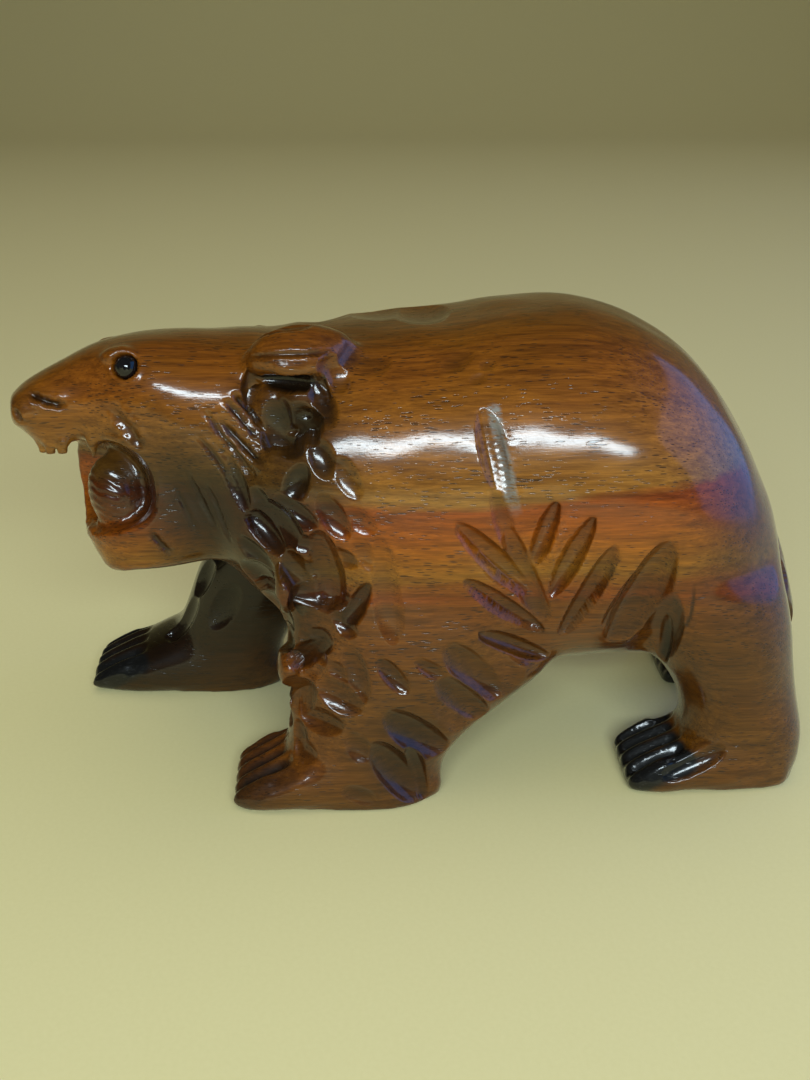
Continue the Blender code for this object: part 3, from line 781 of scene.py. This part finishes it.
def band_colour(n):
    """The growth bands, warped and frayed, with redder blotches."""
    height = n.add("ShaderNodeSeparateXYZ", {0: n.place()}).outputs["Z"]
    along = n.add("ShaderNodeSeparateXYZ", {0: n.place()}).outputs["Y"]
    warp = n.span(n.noise((0.03, 0.012, 0.03), 2), 0.3, 0.7, -3.5, 3.5)
    fray = n.span(n.noise((0.5, 0.05, 0.5), 3), 0.3, 0.7, -1.0, 1.0)
    level = n.math("ADD", n.math("ADD", height, warp), fray)
    level = n.math("SUBTRACT", level, n.math("MULTIPLY", along, BAND_SLOPE))
    colour = n.ramp(n.math("DIVIDE", level, TALL), [(z / TALL, c) for z, c in BANDS])
    blotch = n.noise((0.045, 0.02, 0.045), 3)
    return n.mix(n.span(blotch, 0.42, 0.68, 0, 0.45), colour, RED_BLOTCH)


def pores(n):
    """Fine dashes along the grain, denser in some places than in others."""
    cells = n.add("ShaderNodeTexVoronoi", {"Vector": n.place((1.5, 0.22, 1.8)), "Scale": 1.0})
    patchy = n.span(n.noise((0.12, 0.05, 0.12), 2), 0.35, 0.65, 0.10, 0.28)
    return n.span(n.math("SUBTRACT", cells.outputs["Distance"], patchy), 0.08, -0.04, smooth=True)


def stained_and_shaded(n, colour):
    """The colour with dried wood, painted shade and black claws over it: the shade where the carving and the
    shaded places marked it.
    """
    pale = n.add("ShaderNodeAttribute", attribute_name="pale").outputs["Fac"]
    crackle = n.span(n.noise((0.5, 0.4, 1.9), 4, 0.7), 0.34, 0.55)
    colour = n.mix(n.math("MULTIPLY", pale, crackle), colour, DRIED_COLOUR)
    # Painted shade: darker in the carving's hollows and at the shaded places.
    dark = n.add("ShaderNodeAttribute", attribute_name="dark").outputs["Fac"]
    colour = n.mix(n.math("MULTIPLY", dark, 0.98), colour, PAINTED_SHADE_COLOUR)
    ink = n.add("ShaderNodeAttribute", attribute_name="ink").outputs["Fac"]
    lines = n.span(n.noise((3.5, 0.25, 2.0), 2), 0.6, 0.75)
    return n.mix(ink, colour, n.mix(lines, *INK_COLOURS))


def wood():
    """Open-pored red-brown wood, in growth bands one above another, under clear gloss lacquer."""
    n = Nodes("lacquered_wood")
    colour = band_colour(n)
    streak = n.noise((0.75, 0.03, 0.75), 4, 0.6)
    colour = n.mix(1.0, colour, n.ramp(streak, STREAK_TINTS), "MULTIPLY")
    fibre = n.noise((3.2, 0.12, 3.2), 3, 0.6)
    colour = n.mix(1.0, colour, n.ramp(fibre, FIBRE_TINTS), "MULTIPLY")
    pore = pores(n)
    colour = n.mix(n.math("MULTIPLY", pore, 0.75), colour, PORE_COLOUR)
    n.put(n.surface.inputs["Base Color"], stained_and_shaded(n, colour))
    n.put(n.surface.inputs["Roughness"], n.span(fibre, 0.3, 0.7, 0.36, 0.48))
    for socket, value in BASE_SETTINGS.items():
        n.surface.inputs[socket].default_value = value
    depth = n.math("ADD", n.math("MULTIPLY", fibre, 0.25), n.math("MULTIPLY", pore, -0.6))
    for socket, relief in (("Normal", WOOD_RELIEF), ("Coat Normal", COAT_RELIEF)):
        bump = n.add("ShaderNodeBump", {"Height": depth, "Distance": relief, "Strength": 0.6})
        n.put(n.surface.inputs[socket], bump.outputs[0])
    return n.material


def glass():
    n = Nodes("black_glass")
    swirl = n.noise((0.5, 0.5, 0.5), 2)
    colour = n.mix(swirl, (0.003, 0.003, 0.004, 1), (0.009, 0.008, 0.009, 1))
    n.put(n.surface.inputs["Base Color"], colour)
    n.put(n.surface.inputs["Roughness"], n.span(swirl, 0.3, 0.7, 0.02, 0.05))
    n.surface.inputs["IOR"].default_value = 1.52
    return n.material


def steel():
    n = Nodes("steel_wire")
    drawn = n.noise((4, 4, 0.4), 3)
    n.put(n.surface.inputs["Base Color"], n.mix(drawn, (0.42, 0.42, 0.42, 1), (0.58, 0.58, 0.58, 1)))
    n.put(n.surface.inputs["Roughness"], n.span(drawn, 0.3, 0.7, 0.25, 0.45))
    n.surface.inputs["Metallic"].default_value = 1.0
    return n.material


def paper():
    n = Nodes("pale_backdrop")
    tooth = n.noise((0.8, 0.8, 0.8), 2)
    colour = n.mix(tooth, (0.78, 0.70, 0.34, 1), (0.82, 0.74, 0.38, 1))
    n.put(n.surface.inputs["Base Color"], colour)
    n.surface.inputs["Roughness"].default_value = 0.85
    return n.material


# ---------------------------------------------------------------- the studio

def camera():
    lens = bpy.data.cameras.new("camera")
    lens.lens = CAMERA_LENS
    lens.sensor_width = 36
    lens.clip_start = 0.01
    viewer = bpy.data.objects.new("camera", lens)
    bpy.context.scene.collection.objects.link(viewer)
    viewer.location = CAMERA_PLACE
    ahead = Vector((-math.cos(CAMERA_DROP), 0, -math.sin(CAMERA_DROP)))
    ahead.rotate(Matrix.Rotation(CAMERA_TURN, 3, "Z"))
    viewer.rotation_euler = ahead.to_track_quat("-Z", "Y").to_euler()
    bpy.context.scene.camera = viewer


def area_light(name, place, aim, size, power, colour=(1, 1, 1)):
    light = bpy.data.lights.new(name, "AREA")
    light.shape = "RECTANGLE"
    light.size, light.size_y = size
    light.energy = power
    light.color = colour
    lamp = bpy.data.objects.new(name, light)
    bpy.context.scene.collection.objects.link(lamp)
    lamp.location = place
    lamp.rotation_euler = (Vector(aim) - Vector(place)).to_track_quat("-Z", "Y").to_euler()
    return lamp


def backdrop():
    """A floor that curves up behind the bear, in one sheet."""
    profile = [(FLOOR_FRONT, 0.0), (FLOOR_BACK, 0.0)]
    for k in range(1, SHEET_STEPS + 1):
        angle = math.radians(90) * k / SHEET_STEPS
        across, up = SHEET_BEND * math.sin(angle), SHEET_BEND * math.cos(angle)
        profile.append((FLOOR_BACK - across, SHEET_BEND - up))
    profile.append((FLOOR_BACK - SHEET_BEND, SHEET_TOP))
    form = bmesh.new()
    rows = [[form.verts.new((x, side * SHEET_HALF_WIDTH, z)) for side in (-1, 1)] for x, z in profile]
    for near, far in zip(rows, rows[1:]):
        form.faces.new((near[0], near[1], far[1], far[0]))
    bmesh.ops.recalc_face_normals(form, faces=form.faces)
    sheet = linked("backdrop", mesh_of(form))
    sheet.data.shade_smooth()
    sheet.data.materials.append(paper())


def lights():
    """A long cool lamp at the side, a large soft one overhead, and a blue window behind the rump."""
    area_light("key", *KEY_LIGHT)
    overhead = area_light("overhead", *OVERHEAD_LIGHT)
    overhead.visible_glossy = False
    for width, height, power in WINDOW_PANES:
        pane = area_light("window", WINDOW_PLACE, WINDOW_AIM, (width, height), power, WINDOW_COLOUR)
        pane.visible_diffuse = False


def surroundings():
    """The faint even light that comes from all round."""
    world = bpy.data.worlds.new("world")
    world.use_nodes = True
    bpy.context.scene.world = world
    background = world.node_tree.nodes["Background"]
    background.inputs["Color"].default_value = WORLD_COLOUR
    background.inputs["Strength"].default_value = WORLD_STRENGTH


def studio():
    camera()
    backdrop()
    lights()
    surroundings()
    bpy.context.scene.view_settings.view_transform = "Standard"


def dressed(obj, material):
    obj.data.materials.clear()
    obj.data.materials.append(material)


def main():
    bear = carved_bear()
    dressed(bear, wood())
    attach(bear, BODY)
    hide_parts("carved_body")
    bead_paint, wire_paint = glass(), steel()
    for side in ("left", "right"):
        dressed(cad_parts["eye_bead_" + side], bead_paint)
        dressed(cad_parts["eye_wire_" + side], wire_paint)
    studio()


main()
